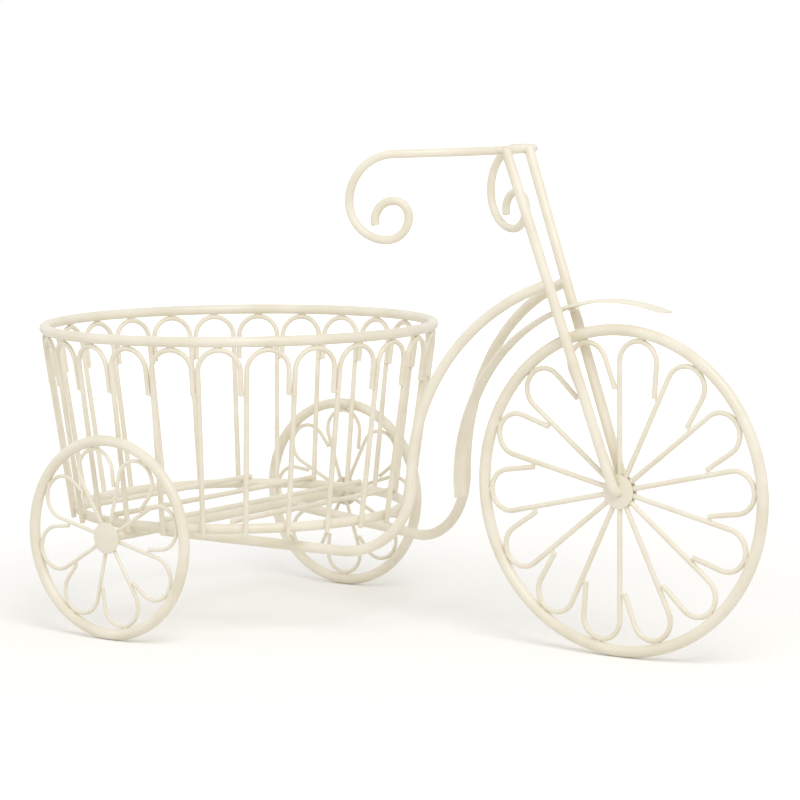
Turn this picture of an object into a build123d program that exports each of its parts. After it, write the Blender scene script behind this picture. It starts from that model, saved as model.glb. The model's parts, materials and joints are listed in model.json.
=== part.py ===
from build123d import *
import os
from math import acos, atan, atan2, cos, hypot, pi, radians, sin, sqrt, tan

# Tricycle plant stand of bent and welded round steel, in millimetres.
# X runs along the stand with the big wheel at +X, Y across it with left at +Y, Z up from the floor.
# The origin is on the floor under the middle of the stand's length.

# Wheels
front_wheel_diameter = 260.0
rear_wheel_diameter = 166.0
wheelbase = 383.0
rear_track = 320.0
front_rim_thickness = 9.2
rear_rim_thickness = 8.8
petal_wire = 4.2
front_petal_count = 14
rear_petal_count = 8
front_petal_radius = 16.5
rear_petal_radius = 17.5
front_petal_reach = 80.0       # from the hub out to where a petal's short leg meets the next spoke
rear_petal_reach = 42.0
front_petal_phase = 90.0       # angle of the first spoke above +X, seen from the right side
rear_petal_phase_right = 31.5
rear_petal_phase_left = 18.0

# Hubs and axle
hub_diameter = 27.0
hub_plate = 2.5
spoke_root_radius = 10.0
axle_diameter = 8.0
running_clearance = 0.05       # radial, between a hub's bore and what it turns on
keeper_diameter = 14.0
keeper_thickness = 1.2
keeper_clearance = 0.3

# Basket
basket_set_forward = 11.0      # basket centre ahead of the axle
basket_top_radius = 162.5      # to the middle of the ring's bar
basket_base_radius = 136.0
basket_depth = 152.5           # between the middles of the two rings
top_ring_thickness = 8.6
base_ring_thickness = 8.0
hoop_wire = 4.3
hoop_count = 26
hoop_phase = 288.5             # plan angle of the first hoop's middle
hoop_short_leg = 20.0
hoop_foot = 1.0                # how far a long leg stands below the base ring
floor_wire = 4.4
floor_wire_count = 4
floor_wire_spacing = 52.0

# Frame and fork
frame_bar = 8.4
frame_half_spread = 88.0       # from the middle plane to each frame tube where it meets the axle
frame_drop = 3.6               # frame tube's end below the middle of the axle
frame_slope = 3.0              # degrees that the lower run falls towards the front
frame_tail = 3.0               # stub behind the axle's middle
frame_bend_radius = 58.0
frame_upright_behind_hub = 170.0   # from the big wheel's hub back to the upright part
frame_meets_behind_hub = 59.0  # from the hub back to where each tube meets its fork leg
fork_bar = 8.4
fork_half_spread = 13.0
fork_rake_run = 97.0           # how far the fork's top lies behind the hub
fork_bend_radius = 8.0
fork_stub_gap = 1.5            # from the middle plane to each stub's end

# Handlebar
handlebar_bar = 7.6
handlebar_height = 391.0       # to the middle of the bar
handlebar_bow_radius = 93.5
handlebar_splay = 19.5         # degrees that each scroll's plane turns away from straight back
scroll_outer_radius = 33.0
scroll_inner_radius = 16.0
scroll_curl_radius = 14.0
scroll_curl_turn = 100.0

# Mudguard
guard_radius = 149.5
guard_width = 16.8
guard_sheet = 1.6
guard_crown = 2.0
guard_front_angle = 71.0
guard_rear_angle = 186.0
guard_hub_setback = 3.0

weld_gap = 0.1                 # left between welded pieces that touch along a line or a point
wire_seat = 0.05               # the same between the hub plates and the spokes that they hold

# Places that follow from the sizes above
hoop_outside = basket_top_radius + top_ring_thickness / 2
axle_x = (hoop_outside - basket_set_forward - wheelbase - front_wheel_diameter / 2) / 2
front_hub = Vector(axle_x + wheelbase, 0, front_wheel_diameter / 2)
axle_z = rear_wheel_diameter / 2
basket_x = axle_x + basket_set_forward
base_ring_z = axle_z + (axle_diameter + base_ring_thickness) / 2 + weld_gap
top_ring_z = base_ring_z + basket_depth
spoke_layer = petal_wire + 2 * wire_seat

os.makedirs("parts", exist_ok=True)


def save(piece, name):
    """Label a finished piece and write it as one STEP file."""
    piece.part.label = name
    export_step(piece.part, f"parts/{name}.step")


def round_bar(path, diameter):
    """A bar of round section along a path."""
    with BuildPart() as bar:
        with BuildSketch(Plane(path @ 0, z_dir=path % 0)):
            Circle(diameter / 2)
        sweep(path=path)
    return bar


def ring(name, centre, axis, radius, thickness):
    """A closed ring of round bar about an axis through its centre."""
    across = Vector(1, 0, 0)
    section = Plane(centre, x_dir=across, z_dir=axis.cross(across))
    with BuildPart() as bar_ring:
        with BuildSketch(section):
            with Locations((radius, 0)):
                Circle(thickness / 2)
        revolve(axis=Axis(centre, axis))
    save(bar_ring, name)


# Basket: two rings, the hoops outside them and the wires of its floor
basket_axis_top = Vector(basket_x, 0, top_ring_z)
basket_axis_base = Vector(basket_x, 0, base_ring_z)
ring("basket_top_ring", basket_axis_top, Vector(0, 0, 1), basket_top_radius, top_ring_thickness)
ring("basket_base_ring", basket_axis_base, Vector(0, 0, 1), basket_base_radius, base_ring_thickness)

# Each hoop is flat and leans out with the basket. Its crown is under the top ring, its long leg
# passes outside the base ring, and its short leg ends against the next hoop's long leg.
hoop_pitch = radians(360 / hoop_count)
crown_z = top_ring_z - (top_ring_thickness + hoop_wire) / 2 - weld_gap
foot_offset = (base_ring_thickness + hoop_wire) / 2 + weld_gap
lean = atan((basket_top_radius - basket_base_radius - foot_offset) / (crown_z - base_ring_z))
leg_gap = hoop_wire + weld_gap
leg_drop = hoop_short_leg + basket_top_radius * sin(hoop_pitch) / 2
leg_radius = basket_top_radius - leg_drop * tan(lean)
arch_radius = (leg_radius * sin(hoop_pitch) - leg_gap) / (1 + cos(hoop_pitch))
leg_at_base = sqrt((basket_base_radius + foot_offset / cos(lean)) ** 2 - arch_radius**2)
lean = atan((basket_top_radius - leg_at_base) / (crown_z - base_ring_z))
foot_z = base_ring_z - base_ring_thickness / 2 - hoop_foot
hoop_height = (crown_z - foot_z) / cos(lean)


def hoop(name, angle):
    """One J-shaped hoop whose middle stands at a plan angle, in degrees."""
    outward = Vector(cos(radians(angle)), sin(radians(angle)), 0)
    along = Vector(-sin(radians(angle)), cos(radians(angle)), 0)
    up = outward * sin(lean) + Vector(0, 0, cos(lean))
    crown = Vector(basket_x, 0, crown_z) + outward * basket_top_radius
    with BuildLine(Plane(crown, x_dir=along, z_dir=along.cross(up))) as path:
        long_leg = Line((-arch_radius, -hoop_height), (-arch_radius, -arch_radius))
        arch = ThreePointArc(long_leg @ 1, (0, 0), (arch_radius, -arch_radius))
        Line(arch @ 1, (arch_radius, -arch_radius - hoop_short_leg))
    save(round_bar(path.wire(), hoop_wire), name)


for number in range(hoop_count):
    hoop(f"basket_hoop_{number + 1:02d}", hoop_phase + number * 360 / hoop_count)

# The floor wires lie across the base ring and end over its middle line
floor_z = base_ring_z + (base_ring_thickness + floor_wire) / 2 + weld_gap
for number in range(floor_wire_count):
    offset = (number - (floor_wire_count - 1) / 2) * floor_wire_spacing
    half_chord = sqrt(basket_base_radius**2 - offset**2)
    with BuildPart() as cross_wire:
        with BuildSketch(Plane((basket_x + offset, 0, floor_z), z_dir=(0, 1, 0))):
            Circle(floor_wire / 2)
        extrude(amount=half_chord, both=True)
    save(cross_wire, f"basket_floor_wire_{number + 1}")


# Handlebar: one bar with a level bow between two upright scrolls
splay = radians(handlebar_splay)
fork_top_x = front_hub.X - fork_rake_run
bow_centre_x = fork_top_x - sqrt(handlebar_bow_radius**2 - fork_half_spread**2)
bow_end = Vector(
    bow_centre_x + handlebar_bow_radius * sin(splay),
    handlebar_bow_radius * cos(splay),
    handlebar_height,
)


def scroll_point(side, back, drop):
    """A point in one scroll's plane, from the bow's end back along the plane and down."""
    return Vector(
        bow_end.X - back * cos(splay),
        side * (bow_end.Y + back * sin(splay)),
        bow_end.Z - drop,
    )


outer_bottom = 2 * scroll_outer_radius
inner_top = outer_bottom - 2 * scroll_inner_radius
curl_centre = inner_top + scroll_curl_radius
curl_end = radians(scroll_curl_turn)
with BuildLine() as handlebar_path:
    for side in (1, -1):
        ThreePointArc(
            scroll_point(side, 0, 0),
            scroll_point(side, scroll_outer_radius, scroll_outer_radius),
            scroll_point(side, 0, outer_bottom),
        )
        ThreePointArc(
            scroll_point(side, 0, outer_bottom),
            scroll_point(side, -scroll_inner_radius, outer_bottom - scroll_inner_radius),
            scroll_point(side, 0, inner_top),
        )
        curl_points = [
            (scroll_curl_radius * sin(turn), curl_centre - scroll_curl_radius * cos(turn))
            for turn in (0, curl_end / 2, curl_end)
        ]
        ThreePointArc(*[scroll_point(side, back, drop) for back, drop in curl_points])
    ThreePointArc(
        scroll_point(1, 0, 0),
        (bow_centre_x + handlebar_bow_radius, 0, handlebar_height),
        scroll_point(-1, 0, 0),
    )
handlebar = round_bar(handlebar_path.wire(), handlebar_bar)
handlebar_notch = round_bar(handlebar_path.wire(), handlebar_bar + 2 * weld_gap)
save(handlebar, "handlebar")

# Rear axle, a straight bar under the base ring, with a keeper welded on each end inside the hub
keeper_pocket = keeper_thickness + 2 * keeper_clearance
wheel_plane = rear_track / 2
keeper_face = wheel_plane + spoke_layer / 2 - keeper_clearance
axle_end = keeper_face - keeper_thickness


def axle_bar(diameter, reach):
    """A round bar on the rear axle's line, reaching the same way left and right."""
    with BuildPart() as bar:
        with BuildSketch(Plane((axle_x, 0, axle_z), z_dir=(0, 1, 0))):
            Circle(diameter / 2)
        extrude(amount=reach, both=True)
    return bar


save(axle_bar(axle_diameter, axle_end), "rear_axle")
axle_notch = axle_bar(axle_diameter + 2 * weld_gap, axle_end)

# Frame and fork, one bar of each on either side of the middle plane
frame_meeting_z = front_hub.Z + (handlebar_height - front_hub.Z) * frame_meets_behind_hub / fork_rake_run
frame_run = front_hub.X - frame_meets_behind_hub - axle_x
closing = atan2(frame_half_spread - fork_half_spread, frame_run)
upright_at = (front_hub.X - frame_upright_behind_hub - axle_x) / cos(closing)
frame_start_z = axle_z - frame_drop
slope = radians(frame_slope)
bend_corner_z = frame_start_z - (upright_at + frame_tail) * tan(slope)
bend_tangent = frame_bend_radius * tan((pi / 2 + slope) / 2)
bend_start = (upright_at - bend_tangent * cos(slope), bend_corner_z + bend_tangent * sin(slope))
bend_end = (upright_at, bend_corner_z + bend_tangent)


def side_name(side):
    """Left and right as a rider has them."""
    return "left" if side > 0 else "right"


for side in (1, -1):
    leg_y = side * fork_half_spread
    leg_points = [
        (fork_top_x, leg_y, handlebar_height),
        (front_hub.X, leg_y, front_hub.Z),
        (front_hub.X, side * fork_stub_gap, front_hub.Z),
    ]
    with BuildLine() as leg_path:
        FilletPolyline(*leg_points, radius=fork_bend_radius)
    fork_leg = round_bar(leg_path.wire(), fork_bar)
    leg_notch = round_bar(leg_path.wire(), fork_bar + 2 * weld_gap)
    with BuildPart() as above_seat:
        with BuildSketch(Plane.XY.offset(handlebar_height - handlebar_bar / 4)):
            with Locations((fork_top_x, leg_y)):
                Circle(fork_bar)
        extrude(amount=fork_bar)
    with BuildPart() as seated_leg:
        add(fork_leg.part)
        add(above_seat.part, mode=Mode.SUBTRACT)
        add(handlebar_notch.part, mode=Mode.SUBTRACT)
    save(seated_leg, f"fork_leg_{side_name(side)}")

    run_along = Vector(cos(closing), -side * sin(closing), 0)
    upright_plane = Plane(
        (axle_x, side * frame_half_spread, 0),
        x_dir=run_along,
        z_dir=run_along.cross(Vector(0, 0, 1)),
    )
    with BuildLine(upright_plane) as frame_path:
        run = Line((-frame_tail, frame_start_z), bend_start)
        bend = TangentArc(run @ 1, bend_end, tangent=run % 1)
        TangentArc(bend @ 1, (frame_run / cos(closing), frame_meeting_z), tangent=bend % 1)
    with BuildPart() as frame_tube:
        add(round_bar(frame_path.wire(), frame_bar).part)
        add(leg_notch.part, mode=Mode.SUBTRACT)
        add(axle_notch.part, mode=Mode.SUBTRACT)
    save(frame_tube, f"frame_tube_{side_name(side)}")

# Mudguard: a crowned strip bent round over the big wheel, welded between the fork legs
guard_centre = Vector(front_hub.X - guard_hub_setback, 0, front_hub.Z)
guard_half = guard_width / 2
guard_edge = guard_radius - guard_crown
rear_angle = radians(guard_rear_angle)
front_angle = radians(guard_front_angle)
guard_out = Vector(cos(rear_angle), 0, sin(rear_angle))
tip_out = Vector(cos(front_angle), 0, sin(front_angle))
tip_on = Vector(sin(front_angle), 0, -cos(front_angle))
with BuildPart() as mudguard:
    with BuildSketch(Plane(guard_centre, x_dir=guard_out, z_dir=guard_out.cross(Vector(0, 1, 0)))):
        with BuildLine():
            top = ThreePointArc((guard_edge, -guard_half), (guard_radius, 0), (guard_edge, guard_half))
            under = ThreePointArc(
                (guard_edge - guard_sheet, guard_half),
                (guard_radius - guard_sheet, 0),
                (guard_edge - guard_sheet, -guard_half),
            )
            Line(top @ 1, under @ 0)
            Line(under @ 1, top @ 0)
        make_face()
    revolve(axis=Axis(guard_centre, (0, 1, 0)), revolution_arc=guard_rear_angle - guard_front_angle)
    with BuildSketch(Plane(guard_centre + tip_out * guard_edge, x_dir=tip_on, z_dir=tip_out)):
        Rectangle(guard_half, guard_width + 2 * guard_sheet, align=(Align.MAX, Align.CENTER))
        with Locations((-guard_half, 0)):
            Circle(guard_half, mode=Mode.SUBTRACT)
    extrude(amount=guard_half, both=True, mode=Mode.SUBTRACT)
save(mudguard, "mudguard")


# Wheels: a rim, petals bent from one wire each, and a hub of two plates on a sleeve
def petals(name, centre, rim_inside, count, radius, reach, phase):
    """A flower of bent wires. Each has a spoke, a round tip on the rim and a leg to the next spoke."""
    pitch = radians(360 / count)
    tip_distance = rim_inside - weld_gap - petal_wire / 2 - radius
    tip_x = sqrt(tip_distance**2 - radius**2)
    leg_x = reach * cos(pitch) + (petal_wire + weld_gap) * sin(pitch)
    leg_y = reach * sin(pitch) - (petal_wire + weld_gap) * cos(pitch)
    to_leg = hypot(leg_x - tip_x, leg_y - radius)
    tip_end = atan2(leg_y - radius, leg_x - tip_x) - acos(radius / to_leg)
    tip_points = [
        (tip_x + radius * cos(turn), radius + radius * sin(turn))
        for turn in (-pi / 2, (tip_end - pi / 2) / 2, tip_end)
    ]
    first = radians(phase)
    outward = Vector(cos(first), 0, sin(first))
    with BuildLine(Plane(centre, x_dir=outward, z_dir=(0, 1, 0))) as path:
        Line((spoke_root_radius, 0), (tip_x, 0))
        tip = ThreePointArc(*tip_points)
        Line(tip @ 1, (leg_x, leg_y))
    petal = round_bar(path.wire(), petal_wire)
    with BuildPart() as flower:
        for number in range(count):
            add(petal.part.rotate(Axis(centre, (0, 1, 0)), number * 360 / count))
    save(flower, name)


def hub_disc(name, centre, side, bore_radius):
    """A round plate on one side of the spokes, bored unless its radius is nothing."""
    with BuildPart() as disc:
        with BuildSketch(Plane(centre + Vector(0, side * spoke_layer / 2, 0), z_dir=(0, side, 0))):
            Circle(hub_diameter / 2)
            if bore_radius:
                Circle(bore_radius, mode=Mode.SUBTRACT)
        extrude(amount=hub_plate)
    save(disc, name)


def hub_sleeve(name, centre, side, bore_radius, pocket_radius):
    """The ring inside the spokes' ends, with a pocket for the keeper where there is one."""
    with BuildPart() as sleeve:
        with BuildSketch(Plane(centre - Vector(0, side * spoke_layer / 2, 0), z_dir=(0, side, 0))):
            Circle(spoke_root_radius - weld_gap)
            Circle(bore_radius, mode=Mode.SUBTRACT)
        extrude(amount=spoke_layer)
        if pocket_radius:
            with BuildSketch(Plane(centre + Vector(0, side * spoke_layer / 2, 0), z_dir=(0, -side, 0))):
                Circle(pocket_radius)
            extrude(amount=keeper_pocket, mode=Mode.SUBTRACT)
    save(sleeve, name)


front_bore = fork_bar / 2 + running_clearance
rear_bore = axle_diameter / 2 + running_clearance
front_rim_radius = (front_wheel_diameter - front_rim_thickness) / 2
rear_rim_radius = (rear_wheel_diameter - rear_rim_thickness) / 2

ring("front_wheel_rim", front_hub, Vector(0, 1, 0), front_rim_radius, front_rim_thickness)
petals(
    "front_wheel_petals",
    front_hub,
    front_wheel_diameter / 2 - front_rim_thickness,
    front_petal_count,
    front_petal_radius,
    front_petal_reach,
    front_petal_phase,
)
hub_sleeve("front_hub_sleeve", front_hub, 1, front_bore, 0)
for side in (1, -1):
    hub_disc(f"front_hub_plate_{side_name(side)}", front_hub, side, front_bore)

for side, phase in ((1, rear_petal_phase_left), (-1, rear_petal_phase_right)):
    wheel = f"rear_wheel_{side_name(side)}"
    hub = f"rear_hub_{side_name(side)}"
    centre = Vector(axle_x, side * wheel_plane, axle_z)
    ring(f"{wheel}_rim", centre, Vector(0, 1, 0), rear_rim_radius, rear_rim_thickness)
    petals(
        f"{wheel}_petals",
        centre,
        rear_wheel_diameter / 2 - rear_rim_thickness,
        rear_petal_count,
        rear_petal_radius,
        rear_petal_reach,
        phase,
    )
    hub_disc(f"{hub}_outer_plate", centre, side, 0)
    hub_disc(f"{hub}_inner_plate", centre, -side, rear_bore)
    hub_sleeve(f"{hub}_sleeve", centre, side, rear_bore, keeper_diameter / 2 + keeper_clearance)
    with BuildPart() as keeper:
        with BuildSketch(Plane((axle_x, side * axle_end, axle_z), z_dir=(0, side, 0))):
            Circle(keeper_diameter / 2)
        extrude(amount=keeper_thickness)
    save(keeper, f"axle_keeper_{side_name(side)}")
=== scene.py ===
import json
import math
import bmesh
import bpy
import numpy as np
from mathutils import Matrix, Vector, noise
from mathutils.bvhtree import BVHTree

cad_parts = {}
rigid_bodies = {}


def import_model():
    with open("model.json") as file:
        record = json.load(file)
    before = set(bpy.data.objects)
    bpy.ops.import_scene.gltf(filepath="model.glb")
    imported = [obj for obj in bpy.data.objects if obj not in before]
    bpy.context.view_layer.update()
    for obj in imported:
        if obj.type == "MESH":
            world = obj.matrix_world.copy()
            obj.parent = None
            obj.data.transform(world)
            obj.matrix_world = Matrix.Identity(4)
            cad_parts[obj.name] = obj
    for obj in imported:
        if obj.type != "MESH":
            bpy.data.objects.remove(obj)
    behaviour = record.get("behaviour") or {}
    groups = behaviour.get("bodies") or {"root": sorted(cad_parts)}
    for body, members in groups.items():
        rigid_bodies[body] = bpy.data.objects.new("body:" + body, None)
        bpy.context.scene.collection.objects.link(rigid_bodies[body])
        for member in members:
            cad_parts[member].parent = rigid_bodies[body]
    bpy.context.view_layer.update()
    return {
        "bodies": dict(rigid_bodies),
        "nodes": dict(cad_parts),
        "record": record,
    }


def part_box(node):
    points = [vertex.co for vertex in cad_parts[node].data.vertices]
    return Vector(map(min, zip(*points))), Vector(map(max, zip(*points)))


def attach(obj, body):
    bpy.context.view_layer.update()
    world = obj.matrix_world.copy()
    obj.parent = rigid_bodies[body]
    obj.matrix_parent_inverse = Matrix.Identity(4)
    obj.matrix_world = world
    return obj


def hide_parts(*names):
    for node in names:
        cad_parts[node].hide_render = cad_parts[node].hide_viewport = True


# Dresses the tricycle plant stand: cream powder coat, weld beads, softened wire ends, and the bars,
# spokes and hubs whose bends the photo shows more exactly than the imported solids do
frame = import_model()
nodes = frame["nodes"]
bodyOf = {node: body for body, members in frame["record"]["behaviour"]["bodies"].items() for node in members}
mm = 0.001
alongX, alongY, alongZ = Vector((1, 0, 0)), Vector((0, 1, 0)), Vector((0, 0, 1))
print("frame loaded:", len(nodes), "nodes")


# The middle of a node's box
def middle(node):
    low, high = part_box(node)
    return (low + high) / 2


frontHub = middle("front_wheel_rim")
rearHubs = {side: middle(f"rear_wheel_{side}_rim") for side in ("left", "right")}


# sRGB hex to the linear values that shaders take
def linear(hexColour):
    parts = [int(hexColour[i:i + 2], 16) / 255 for i in (1, 3, 5)]
    return [p / 12.92 if p <= 0.04045 else ((p + 0.055) / 1.055) ** 2.4 for p in parts] + [1.0]


# One shader node with the links that feed it and its settings
def addNode(tree, kind, links=None, **settings):
    node = tree.nodes.new(kind)
    for name, value in settings.items():
        label = name.replace("_", " ")
        if label in node.inputs:
            node.inputs[label].default_value = value
        else:
            setattr(node, name, value)
    for label, source in (links or {}).items():
        tree.links.new(source, node.inputs[label])
    return node


def emptyMaterial(name):
    material = bpy.data.materials.new(name)
    material.use_nodes = True
    material.node_tree.nodes.clear()
    return material, material.node_tree


# Polyester powder coat, sprayed dry and baked: thick, satin-gloss, a little darker where it runs thin,
# with a faint orange peel. The peel is drawn at 1.8 mm, coarser than the real half millimetre, to show.
coat = {
    "thick": "#F3ECDB",
    "thin": "#EAE2CD",
    "toneLength": 34 * mm,
    "peelLength": 1.8 * mm,
    "flowLength": 8 * mm,
    "peelHeight": 0.05 * mm,
    "flowHeight": 0.14 * mm,
    "gloss": 0.30,
    "dull": 0.44,
    "toneEdges": (0.32, 0.6),  # where the tone noise is fully thin and fully thick
    "flowBump": 0.4,
    "peelBump": 0.3,
    "refraction": 1.5,
    "skin": 0.2,  # the resin-rich film on top of the pigment
    "skinDull": 0.2,
}


def creamPowderCoat():
    material, tree = emptyMaterial("cream_powder_coat")
    place = addNode(tree, "ShaderNodeTexCoord").outputs["Object"]
    tone = addNode(tree, "ShaderNodeTexNoise", {"Vector": place}, Scale=1 / coat["toneLength"], Detail=3.0)
    flow = addNode(tree, "ShaderNodeTexNoise", {"Vector": place}, Scale=1 / coat["flowLength"], Detail=2.0)
    peel = addNode(tree, "ShaderNodeTexNoise", {"Vector": place}, Scale=1 / coat["peelLength"], Detail=1.0)
    colour = addNode(tree, "ShaderNodeValToRGB", {"Fac": tone.outputs["Fac"]})
    for stop, position, shade in zip(colour.color_ramp.elements, coat["toneEdges"], ("thin", "thick")):
        stop.position = position
        stop.color = linear(coat[shade])
    links = {"Value": flow.outputs["Fac"]}
    sheen = addNode(tree, "ShaderNodeMapRange", links, To_Min=coat["gloss"], To_Max=coat["dull"])
    links = {"Height": flow.outputs["Fac"]}
    flowBump = addNode(tree, "ShaderNodeBump", links, Strength=coat["flowBump"], Distance=coat["flowHeight"])
    links = {"Height": peel.outputs["Fac"], "Normal": flowBump.outputs["Normal"]}
    peelBump = addNode(tree, "ShaderNodeBump", links, Strength=coat["peelBump"], Distance=coat["peelHeight"])
    links = {
        "Base Color": colour.outputs["Color"],
        "Roughness": sheen.outputs["Result"],
        "Normal": peelBump.outputs["Normal"],
    }
    film = {"IOR": coat["refraction"], "Coat_Weight": coat["skin"], "Coat_Roughness": coat["skinDull"]}
    shader = addNode(tree, "ShaderNodeBsdfPrincipled", links, **film)
    addNode(tree, "ShaderNodeOutputMaterial", {"Surface": shader.outputs["BSDF"]})
    return material


paint = creamPowderCoat()
smoothAngle = math.radians(32)


def dress(piece):
    piece.data.materials.clear()
    piece.data.materials.append(paint)
    piece.data.shade_smooth()
    piece.data.set_sharp_from_angle(angle=smoothAngle)


for piece in nodes.values():
    dress(piece)
visible = dict(nodes)
print("powder coat on the frame's nodes")


# A new painted piece that rides on a body, and may stand for nodes of that body
def addPiece(name, mesh, body, replaced=()):
    data = bpy.data.meshes.new(name)
    bmesh.ops.recalc_face_normals(mesh, faces=mesh.faces)
    mesh.to_mesh(data)
    mesh.free()
    piece = bpy.data.objects.new(name, data)
    bpy.context.scene.collection.objects.link(piece)
    dress(piece)
    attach(piece, body)
    if replaced:
        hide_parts(*replaced)
        visible[name] = piece
        bodyOf[name] = body
        for node in replaced:
            visible.pop(node)


# A ring of points round a centre, in the plane of two directions
def addRing(mesh, centre, first, second, radius, count):
    turns = [k / count * math.tau for k in range(count)]
    return [mesh.verts.new(centre + (first * math.cos(t) + second * math.sin(t)) * radius) for t in turns]


# The faces between each ring and the next
def addSkin(mesh, rings):
    for low, high in zip(rings, rings[1:]):
        for k in range(len(low)):
            mesh.faces.new((low[k - 1], low[k], high[k], high[k - 1]))


# Round bars: facets round the bar, the turn between points on a bend, and the paint's round at a cut end
bar = {
    "sides": 20,
    "step": math.radians(5),
    "leastStep": 0.01 * mm,
    "endRound": 0.45 * mm,
    "endLeans": (90, 60, 30, 0),
}


# Points on an arc round a centre, in the plane of two directions
def arc(centre, first, second, radius, start, end):
    count = max(2, math.ceil(abs(end - start) / bar["step"]))
    turns = [start + (end - start) * k / count for k in range(count + 1)]
    return [centre + (first * math.cos(t) + second * math.sin(t)) * radius for t in turns]


# A corner rounded to a radius, with the points before and after it
def roundedCorner(before, corner, after, radius):
    one, two = (before - corner).normalized(), (after - corner).normalized()
    angle = one.angle(two)
    reach = radius / math.tan(angle / 2)
    centre = corner + (one + two).normalized() * radius / math.sin(angle / 2)
    first = (corner + one * reach - centre).normalized()
    second = corner + two * reach - centre
    second = (second - first * second.dot(first)).normalized()
    return [before] + arc(centre, first, second, radius, 0, math.pi - angle) + [after]


# A round bar along a line of points, its cut ends softened by the paint
def addBar(mesh, line, radius):
    points = [line[0]] + [b for a, b in zip(line, line[1:]) if (b - a).length > bar["leastStep"]]
    last = len(points) - 1
    along = [(points[min(i + 1, last)] - points[max(i - 1, 0)]).normalized() for i in range(last + 1)]
    softening = []
    for lean in map(math.radians, bar["endLeans"]):
        inset = bar["endRound"] * (1 - math.sin(lean))
        softening.append((inset, radius - bar["endRound"] * (1 - math.cos(lean))))
    stations = [(points[0] + along[0] * inset, along[0], span) for inset, span in softening]
    stations += [(points[i], along[i], radius) for i in range(1, last)]
    softening.reverse()
    stations += [(points[last] - along[last] * inset, along[last], span) for inset, span in softening]
    side = along[0].orthogonal().normalized()
    rings = []
    for place, forward, span in stations:
        side = (side - forward * side.dot(forward)).normalized()
        rings.append(addRing(mesh, place, side, forward.cross(side), span, bar["sides"]))
    addSkin(mesh, rings)
    mesh.faces.new(rings[0])
    mesh.faces.new(rings[-1])


# Handlebar: one bar, a flat-fronted bow between two upright scrolls, each curled in by quarter turns
handlebar = {
    "thickness": 6.9 * mm,
    "frontBehindBox": 4.7 * mm,
    "topBelowBox": 2.2 * mm,
    "bowDepth": 53.5 * mm,
    "halfWidth": 86.5 * mm,
    "sideRadius": 60 * mm,
    "splay": math.radians(19.8),
    "tilt": math.radians(-1.4),
    "quarters": (36.7 * mm, 29.5 * mm, 18 * mm, 12.2 * mm, 15 * mm),
    "curlTurn": math.radians(105),
}
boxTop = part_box("handlebar")[1]
bowFront = Vector((boxTop.x - handlebar["frontBehindBox"], 0, boxTop.z - handlebar["topBelowBox"]))


def handlebarLine():
    splay = handlebar["splay"]
    sideRadius = handlebar["sideRadius"]
    sideX = -handlebar["bowDepth"] - sideRadius * math.sin(splay)
    sideY = handlebar["halfWidth"] - sideRadius * math.cos(splay)
    frontRadius = (sideRadius**2 - sideX**2 - sideY**2) / (2 * (sideX + sideRadius))
    joint = math.atan2(sideX + frontRadius, sideY)
    lastQuarter = len(handlebar["quarters"]) - 1
    halves = []
    for side in (1, -1):
        out = alongY * side
        back = Vector((-math.cos(splay), side * math.sin(splay), 0))
        line = arc(bowFront - alongX * frontRadius, out, alongX, frontRadius, math.pi / 2, joint)
        line += arc(bowFront + Vector((sideX, side * sideY, 0)), out, alongX, sideRadius, joint, splay)
        centre = bowFront + Vector((-handlebar["bowDepth"], side * handlebar["halfWidth"], 0))
        previous = 0
        for quarter, radius in enumerate(handlebar["quarters"]):
            turn = quarter * math.pi / 2
            towards = alongZ * math.cos(turn) + back * math.sin(turn)
            centre = centre + towards * (previous - radius)
            sweep = handlebar["curlTurn"] if quarter == lastQuarter else math.pi / 2
            line += arc(centre, alongZ, back, radius, turn, turn + sweep)
            previous = radius
        halves.append(line)
    turn = Matrix.Rotation(handlebar["tilt"], 4, "Y")
    return [bowFront + turn @ (point - bowFront) for point in halves[0][::-1] + halves[1]]


mesh = bmesh.new()
addBar(mesh, handlebarLine(), handlebar["thickness"] / 2)
addPiece("bent_handlebar", mesh, "stand", ["handlebar"])

# Fork: two straight legs that lean together towards the hub and bend into it
fork = {
    "thickness": 8.4 * mm,
    "aheadOfBow": 4.1 * mm,
    "topSpread": 16.4 * mm,
    "topAboveBow": 1.5 * mm,
    "hubSpread": 8.5 * mm,
    "bend": 5 * mm,
    "stubGap": 1.5 * mm,
}
mesh = bmesh.new()
for side in (1, -1):
    top = bowFront + Vector((fork["aheadOfBow"], side * fork["topSpread"], 0))
    corner = frontHub + alongY * side * fork["hubSpread"]
    top += (top - corner).normalized() * fork["topAboveBow"]
    line = roundedCorner(top, corner, frontHub + alongY * side * fork["stubGap"], fork["bend"])
    addBar(mesh, line, fork["thickness"] / 2)
addPiece("fork_legs", mesh, "stand", ["fork_leg_left", "fork_leg_right"])

# Frame tube tips: a short stub on the top end of each frame tube, which carries it on at the fork leg
tip = {
    "thickness": 8.46 * mm,
    "rise": math.radians(19),
    "closing": math.radians(13),
    "behindHub": 59 * mm,
    "spread": 13 * mm,
    "height": 158.75 * mm,
    "back": 6 * mm,
    "ahead": 3.4 * mm,
}
mesh = bmesh.new()
for side in (1, -1):
    meeting = frontHub + Vector((-tip["behindHub"], side * tip["spread"], tip["height"]))
    level = Vector((math.cos(tip["closing"]), -side * math.sin(tip["closing"]), 0))
    onward = level * math.cos(tip["rise"]) + alongZ * math.sin(tip["rise"])
    line = [meeting - onward * tip["back"], meeting, meeting + onward * tip["ahead"]]
    addBar(mesh, line, tip["thickness"] / 2)
addPiece("frame_tube_tips", mesh, "stand")

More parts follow.
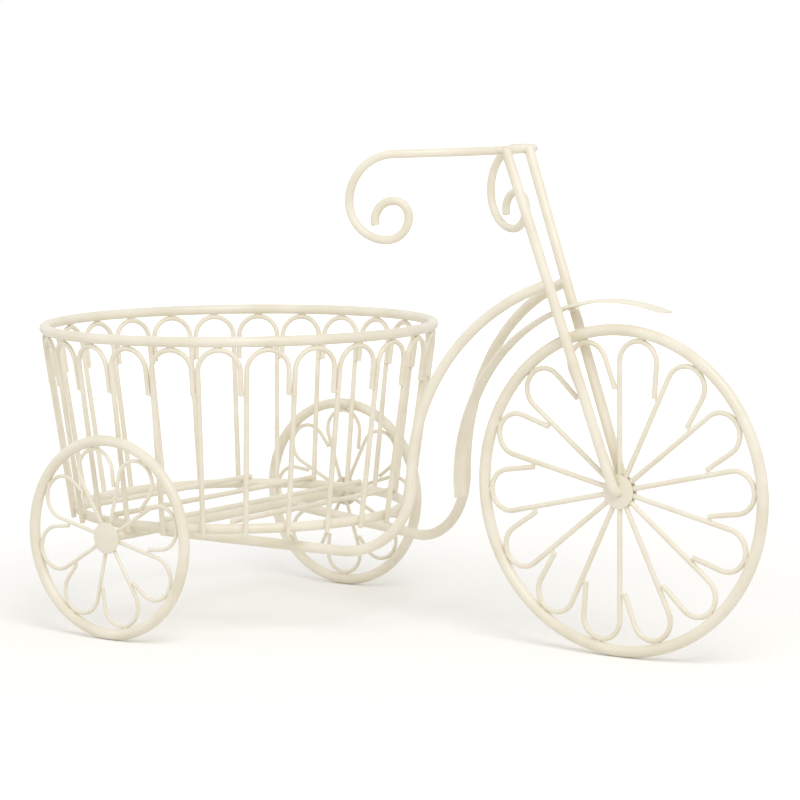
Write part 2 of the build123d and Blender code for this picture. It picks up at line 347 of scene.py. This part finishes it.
# Mudguard: a crowned strip with paint-rounded edges and a round front end
guard = {
    "radius": 149.5 * mm,
    "halfWidth": 8.3 * mm,
    "sheet": 1.6 * mm,
    "crown": 2 * mm,
    "front": math.radians(71),
    "rear": math.radians(186),
    "setback": 3 * mm,
    "rows": 110,
    "across": 14,
    "frontCrowding": 1.6,  # above 1, rows lie closer together towards the round front end
    "edgeCrowding": 0.8,  # below 1, points lie closer together towards the long edges
    "edgeSquareness": 14,  # how late the sheet thins to its rounded edge
    "nose": 0.05 * mm,  # how far the first row lies behind the very tip
    "mergeGap": 0.002 * mm,
}


# One closed outline of the strip, from the left edge over the top and back underneath
def guardOutline(halfWidth):
    outline = []
    for face in (1, -1):
        for k in range(guard["across"] + 1):
            share = (1 - 2 * k / guard["across"]) * face
            softened = math.copysign(math.sin(abs(share) * math.pi / 2) ** guard["edgeCrowding"], share)
            edge = math.sqrt(max(0.0, 1 - abs(softened) ** guard["edgeSquareness"]))
            drop = guard["crown"] * (softened * halfWidth / guard["halfWidth"]) ** 2
            outline.append((softened * halfWidth, -drop + face * guard["sheet"] / 2 * edge))
    return outline


mesh = bmesh.new()
guardCentre = frontHub - alongX * guard["setback"]
middleRadius = guard["radius"] - guard["sheet"] / 2
rows = []
for row in range(guard["rows"] + 1):
    share = (1 - row / guard["rows"]) ** guard["frontCrowding"]
    angle = guard["front"] + (guard["rear"] - guard["front"]) * share
    left = (angle - guard["front"]) * guard["radius"] + guard["nose"]
    halfWidth = guard["halfWidth"]
    if left < halfWidth:
        halfWidth = math.sqrt(halfWidth**2 - (halfWidth - left) ** 2)
    outward = Vector((math.cos(angle), 0, math.sin(angle)))
    places = [outward * (middleRadius + high) + alongY * wide for wide, high in guardOutline(halfWidth)]
    rows.append([mesh.verts.new(guardCentre + place) for place in places])
addSkin(mesh, rows)
mesh.faces.new(rows[0])
mesh.faces.new(rows[-1])
bmesh.ops.remove_doubles(mesh, verts=mesh.verts, dist=guard["mergeGap"])
addPiece("rolled_mudguard", mesh, "stand", ["mudguard"])

# Rear wheel petals: each a thin wire with a spoke, a round tip on the rim and a leg to the next spoke
petal = {
    "thickness": 3.2 * mm,
    "rimInside": 74.2 * mm,
    "count": 8,
    "radius": 17.5 * mm,
    "reach": 42 * mm,
    "root": 7.9 * mm,
    "gap": 0.1 * mm,
    "phase": {"left": math.radians(18), "right": math.radians(31.5)},
}
pitch = math.tau / petal["count"]
radius = petal["radius"]
step = petal["thickness"] + petal["gap"]
tipDistance = petal["rimInside"] - petal["gap"] - petal["thickness"] / 2 - radius
tipX = math.sqrt(tipDistance**2 - radius**2)
legX = petal["reach"] * math.cos(pitch) + step * math.sin(pitch)
legY = petal["reach"] * math.sin(pitch) - step * math.cos(pitch)
toLeg = math.hypot(legX - tipX, legY - radius)
tipEnd = math.atan2(legY - radius, legX - tipX) - math.acos(radius / toLeg)
for side, centre in rearHubs.items():
    mesh = bmesh.new()
    for number in range(petal["count"]):
        turn = petal["phase"][side] + number * pitch
        out = Vector((math.cos(turn), 0, math.sin(turn)))
        around = Vector((math.sin(turn), 0, -math.cos(turn)))
        line = [centre + out * petal["root"]]
        line += arc(centre + out * tipX + around * radius, out, around, radius, -math.pi / 2, tipEnd)
        line.append(centre + out * legX + around * legY)
        addBar(mesh, line, petal["thickness"] / 2)
    addPiece(f"thin_petals_{side}", mesh, f"rear_wheel_{side}", [f"rear_wheel_{side}_petals"])

# Hubs: turned steel with rolled edges. Profiles are (radius, distance out from the wheel's plane) in mm
hub = {
    "turns": 72,
    "front": [
        (4.3, 2.12), (13.0, 2.12), (13.35, 2.25), (13.5, 2.6),
        (13.5, 3.2), (13.35, 3.55), (13.0, 3.7), (4.3, 3.7),
    ],
    "rear": [
        (0, 3.5), (12.05, 3.5), (12.54, 3.3), (12.75, 2.85), (12.75, 2.25), (12.54, 1.8), (12.05, 1.62),
        (8, 1.62), (8, -4.9), (7.5, -5.4), (4.2, -5.4), (4.2, 0.3), (7.35, 0.3), (7.35, 1.95), (0, 1.95),
    ],
}


# A profile turned round the wheel's axis, closed on itself unless it starts on the axis
def addTurned(mesh, centre, profile, side):
    rings = []
    for radius, out in profile:
        place = centre + alongY * side * out * mm
        if radius:
            rings.append(addRing(mesh, place, alongX, alongZ, radius * mm, hub["turns"]))
        else:
            rings.append([mesh.verts.new(place)] * hub["turns"])
    pairs = list(zip(rings, rings[1:])) + ([(rings[-1], rings[0])] if profile[0][0] else [])
    for low, high in pairs:
        for k in range(hub["turns"]):
            corners = dict.fromkeys((low[k - 1], low[k], high[k], high[k - 1]))
            if len(corners) > 2:
                mesh.faces.new(list(corners))


mesh = bmesh.new()
addTurned(mesh, frontHub, hub["front"], 1)
addTurned(mesh, frontHub, hub["front"], -1)
addPiece("front_hub_discs", mesh, "front_wheel", ["front_hub_plate_left", "front_hub_plate_right"])
for side, centre in rearHubs.items():
    mesh = bmesh.new()
    addTurned(mesh, centre, hub["rear"], 1 if side == "left" else -1)
    parts = [f"rear_hub_{side}_{part}" for part in ("outer_plate", "inner_plate", "sleeve")]
    addPiece(f"turned_hub_{side}", mesh, f"rear_wheel_{side}", parts)
print("handlebar, fork, mudguard, petals and hubs made")


# Groups of faces that hang together by their edges, each further face let in by a test
def faceGroups(mesh, belongs):
    seen = set()
    groups = []
    for first in mesh.faces:
        if first in seen:
            continue
        group = [first]
        seen.add(first)
        for face in group:
            for edge in face.edges:
                for other in edge.link_faces:
                    if other not in seen and belongs(first, other):
                        seen.add(other)
                        group.append(other)
        groups.append(group)
    return groups


mergeGap = 0.001 * mm  # points of one node that lie this close are the same point


# The separate solids of a piece, each with its own points, faces and search tree
def solidsOf(name):
    whole = bmesh.new()
    whole.from_mesh(visible[name].data)
    bmesh.ops.remove_doubles(whole, verts=whole.verts, dist=mergeGap)
    parts = []
    for group in faceGroups(whole, lambda first, other: True):
        corners = {vert: None for face in group for vert in face.verts}
        rank = {vert: i for i, vert in enumerate(corners)}
        places = [vert.co.copy() for vert in corners]
        faces = [[rank[vert] for vert in face.verts] for face in group]
        cloud = np.array(places)
        parts.append({
            "name": name,
            "points": places,
            "faces": faces,
            "cloud": cloud,
            "low": cloud.min(0),
            "high": cloud.max(0),
            "tree": BVHTree.FromPolygons(places, faces),
        })
    whole.free()
    return parts


unwelded = ("sleeve", "keeper", "plate", "hub")  # turned hub parts and what lies inside them
welded = [name for name in sorted(visible) if not any(word in name for word in unwelded)]
solids = [part for name in welded for part in solidsOf(name)]
print("solids to weld:", len(solids))

# Weld beads: found where two solids of one body touch, and small wherever one of them is a wire
weld = {
    "reach": 0.35 * mm,
    "apart": 7 * mm,
    "probe": 1.1 * mm,
    "wireRadius": 1.9 * mm,
    "barRadius": 3.9 * mm,
    "wires": ("hoop", "floor_wire", "petals"),
    "width": 0.86,
    "height": 0.62,
    "along": 1.6,
    "crossing": 1.0,
    "lump": 0.14,
    "lumpLength": 2.2 * mm,
    "fineness": 2,
    "turnSharpness": 4,  # how quickly a bead shortens as its bars turn away from each other
    "probes": 12,
    "samples": 60,
    "turns": 14,
    "tooFar": 14 * mm,
}


# The places where two solids come within reach of each other, nearest first
def touching(first, second):
    low = np.maximum(first["low"], second["low"]) - weld["reach"]
    high = np.minimum(first["high"], second["high"]) + weld["reach"]
    if (low > high).any():
        return []
    starts = []
    for part in (first, second):
        cloud = part["cloud"]
        near = cloud[((cloud > low - weld["apart"]) & (cloud < high + weld["apart"])).all(1)]
        starts += [Vector(point) for point in near[::max(1, len(near) // weld["samples"])]]
    found = []
    for point in starts:
        for _ in range(weld["turns"]):
            onFirst = first["tree"].find_nearest(point)[0]
            point, *_, gap = second["tree"].find_nearest(onFirst)
            if gap > weld["tooFar"]:
                break
        if gap < weld["reach"]:
            found.append((gap, (onFirst + point) / 2, onFirst))
    kept = []
    for gap, centre, onFirst in sorted(found, key=lambda item: item[0]):
        if all((centre - other).length > weld["apart"] for other, _ in kept):
            kept.append((centre, onFirst))
    return kept


# The direction in which a bar runs at a point on it: the way its surface turns least
def barAxis(part, point, normal):
    side = normal.orthogonal().normalized()
    other = normal.cross(side)
    spread = np.zeros((3, 3))
    for probe in range(weld["probes"]):
        turn = probe * math.tau / weld["probes"]
        around = point + (side * math.cos(turn) + other * math.sin(turn)) * weld["probe"]
        change = np.array(part["tree"].find_nearest(around)[1] - normal)
        spread += np.outer(change, change)
    flat = np.array([side, other])
    vectors = np.linalg.eigh(flat @ spread @ flat.T)[1]
    return (side * vectors[0, 0] + other * vectors[1, 0]).normalized()


# One lumpy bead of weld metal under the paint
def addBead(mesh, centre, along, normal, radius, stretch):
    across = normal.cross(along).normalized()
    along = across.cross(normal).normalized()
    size = (radius * stretch, radius * weld["width"], radius * weld["height"], 1)
    turn = Matrix((along, across, normal)).transposed().to_4x4()
    place = Matrix.Translation(centre) @ turn @ Matrix.Diagonal(size)
    made = bmesh.ops.create_icosphere(mesh, subdivisions=weld["fineness"], radius=1, matrix=place)
    for vert in made["verts"]:
        vert.co += (vert.co - centre) * noise.noise(vert.co / weld["lumpLength"]) * weld["lump"]


beads = {body: bmesh.new() for body in frame["bodies"]}
count = 0
for i, first in enumerate(solids):
    for second in solids[i + 1:]:
        body = bodyOf[first["name"]]
        if bodyOf[second["name"]] != body:
            continue
        for centre, onFirst in touching(first, second):
            normal = first["tree"].find_nearest(onFirst)[1].normalized()
            one, two = barAxis(first, onFirst, normal), barAxis(second, onFirst, -normal)
            two = -two if one.dot(two) < 0 else two
            thin = any(word in part["name"] for part in (first, second) for word in weld["wires"])
            radius = weld["wireRadius"] if thin else weld["barRadius"]
            alike = one.dot(two) ** weld["turnSharpness"]
            stretch = weld["crossing"] + (weld["along"] - weld["crossing"]) * alike
            addBead(beads[body], centre, one + two, normal, radius, stretch)
            count += 1
for body, mesh in beads.items():
    addPiece("weld_beads_" + body, mesh, body)
print("weld beads:", count)

# Wire ends of the frame's own nodes: the paint rounds over each cut end
ending = {
    "rise": 0.28,
    "dome": 0.6,  # below 1, the cap is fuller than a flattened ball
    "rows": 4,
    "sides": 24,
    "leastRadius": 1.2 * mm,
    "mostRadius": 4.6 * mm,
    "flat": 0.9999,
    "leastFaces": 6,
    "unround": 0.1,
}


# Centre, outward direction and radius of each flat round end of a solid
def cutEnds(part):
    mesh = bmesh.new()
    corners = [mesh.verts.new(place) for place in part["points"]]
    for face in part["faces"]:
        mesh.faces.new([corners[i] for i in face])
    mesh.normal_update()
    found = []
    for group in faceGroups(mesh, lambda first, other: other.normal.dot(first.normal) > ending["flat"]):
        if len(group) < ending["leastFaces"]:
            continue
        rim = {vert: None for face in group for vert in face.verts}
        centre = sum((vert.co for vert in rim), Vector()) / len(rim)
        spans = [(vert.co - centre).length for vert in rim]
        widest = max(spans)
        isRound = widest - min(spans) < ending["unround"] * widest
        if isRound and ending["leastRadius"] < widest < ending["mostRadius"]:
            found.append((centre, group[0].normal.copy(), widest))
    mesh.free()
    return found


# A shallow cap of paint over a cut end
def addCap(mesh, centre, outward, radius):
    side = outward.orthogonal().normalized()
    other = outward.cross(side)
    rise = ending["rise"] * radius
    rings = []
    for row in range(ending["rows"]):
        lean = row / ending["rows"] * math.pi / 2
        place = centre + outward * rise * math.sin(lean)
        span = radius * math.cos(lean) ** ending["dome"]
        rings.append(addRing(mesh, place, side, other, span, ending["sides"]))
    top = mesh.verts.new(centre + outward * rise)
    addSkin(mesh, rings)
    for k in range(ending["sides"]):
        mesh.faces.new((rings[-1][k - 1], rings[-1][k], top))
    mesh.faces.new(rings[0])


caps = {body: bmesh.new() for body in frame["bodies"]}
count = 0
for part in solids:
    if part["name"] in nodes:
        for centre, outward, radius in cutEnds(part):
            addCap(caps[bodyOf[part["name"]]], centre, outward, radius)
            count += 1
for body, mesh in caps.items():
    if mesh.verts:
        addPiece("wire_ends_" + body, mesh, body)
    else:
        mesh.free()
print("wire ends:", count)

# Studio: a pale floor, one large soft key light, a weaker fill and a white surround
studio = {
    "floorColour": "#F7F6F3",
    "floorRoughness": 0.5,
    "floorRadius": 30.0,
    "floorSides": 96,
    "floorReach": (0.35, 2.2),  # metres from the stand's middle between which the lift grows
    "floorLift": (0.08, 0.6),
    "surround": 0.74,
    "keyPower": 24.0,
    "keySize": 1.5,
    "keyPlace": (1.5, -1.3, 2.2),
    "fillPower": 3.0,
    "fillSize": 1.4,
    "fillPlace": (-1.8, -1.2, 1.0),
}
# Seamless white paper: matt. For the camera alone it grows brighter away from the stand, so that it
# meets the white surround without a line and still holds the shadow near the wheels.
material, tree = emptyMaterial("white_studio_paper")
seen = addNode(tree, "ShaderNodeLightPath").outputs["Is Camera Ray"]
paper = {"Color": linear(studio["floorColour"]), "Roughness": studio["floorRoughness"]}
matt = addNode(tree, "ShaderNodeBsdfDiffuse", **paper)
place = addNode(tree, "ShaderNodeTexCoord").outputs["Object"]
distance = addNode(tree, "ShaderNodeVectorMath", {0: place}, operation="LENGTH").outputs["Value"]
limits = dict(zip(("From_Min", "From_Max", "To_Min", "To_Max"), studio["floorReach"] + studio["floorLift"]))
spread = addNode(tree, "ShaderNodeMapRange", {"Value": distance}, **limits)
lift = addNode(tree, "ShaderNodeMath", {0: seen, 1: spread.outputs["Result"]}, operation="MULTIPLY")
glow = addNode(tree, "ShaderNodeEmission", {"Strength": lift.outputs[0]})
both = addNode(tree, "ShaderNodeAddShader", {0: matt.outputs[0], 1: glow.outputs[0]})
addNode(tree, "ShaderNodeOutputMaterial", {"Surface": both.outputs[0]})
mesh = bmesh.new()
bmesh.ops.create_circle(mesh, cap_ends=True, segments=studio["floorSides"], radius=studio["floorRadius"])
floorData = bpy.data.meshes.new("studio_floor")
mesh.to_mesh(floorData)
mesh.free()
floorData.materials.append(material)
floor = bpy.data.objects.new("studio_floor", floorData)
bpy.context.scene.collection.objects.link(floor)

world = bpy.data.worlds.new("white_surround")
world.use_nodes = True
tree = world.node_tree
tree.nodes.clear()
path = addNode(tree, "ShaderNodeLightPath")
links = {0: path.outputs["Is Camera Ray"], 1: path.outputs["Is Glossy Ray"]}
shown = addNode(tree, "ShaderNodeMath", links, operation="MAXIMUM")
links = {"Value": shown.outputs[0]}
strength = addNode(tree, "ShaderNodeMapRange", links, To_Min=studio["surround"], To_Max=1.0)
sky = addNode(tree, "ShaderNodeBackground", {"Strength": strength.outputs["Result"]}, Color=(1, 1, 1, 1))
addNode(tree, "ShaderNodeOutputWorld", {"Surface": sky.outputs[0]})
bpy.context.scene.world = world

lookAt = Vector((-3.3 * mm, 0, 189.3 * mm))  # where the lamps and the camera point
for name in ("key", "fill"):
    light = bpy.data.lights.new(name + "_softbox", "AREA")
    light.shape = "DISK"
    light.size = studio[name + "Size"]
    light.energy = studio[name + "Power"]
    lamp = bpy.data.objects.new(name + "_softbox", light)
    lamp.location = studio[name + "Place"]
    lamp.rotation_euler = (lookAt - lamp.location).to_track_quat("-Z", "Y").to_euler()
    bpy.context.scene.collection.objects.link(lamp)

# Camera: the photo's angle, distance and slight roll, as solved from its wheels and rings
view = {
    "azimuth": 35.35,
    "elevation": 6.26,
    "roll": -0.483,
    "distance": 2.5406,
    "lens": 141.2,
    "sensor": 36,
    "farthest": 200,
}
azimuth, elevation, roll = (math.radians(view[name]) for name in ("azimuth", "elevation", "roll"))
level = math.cos(elevation)
back = Vector((math.sin(azimuth) * level, -math.cos(azimuth) * level, math.sin(elevation)))
right = Vector((math.cos(azimuth), math.sin(azimuth), 0))
up = back.cross(right)
across = right * math.cos(roll) + up * math.sin(roll)
upward = up * math.cos(roll) - right * math.sin(roll)
lens = bpy.data.cameras.new("photo_camera")
lens.sensor_width = view["sensor"]
lens.lens = view["lens"]
lens.clip_end = view["farthest"]
camera = bpy.data.objects.new("photo_camera", lens)
turned = Matrix((across, upward, back)).transposed().to_4x4()
camera.matrix_world = Matrix.Translation(lookAt + back * view["distance"]) @ turned
bpy.context.scene.collection.objects.link(camera)
bpy.context.scene.camera = camera
bpy.context.scene.view_settings.view_transform = "Standard"
print("studio ready")
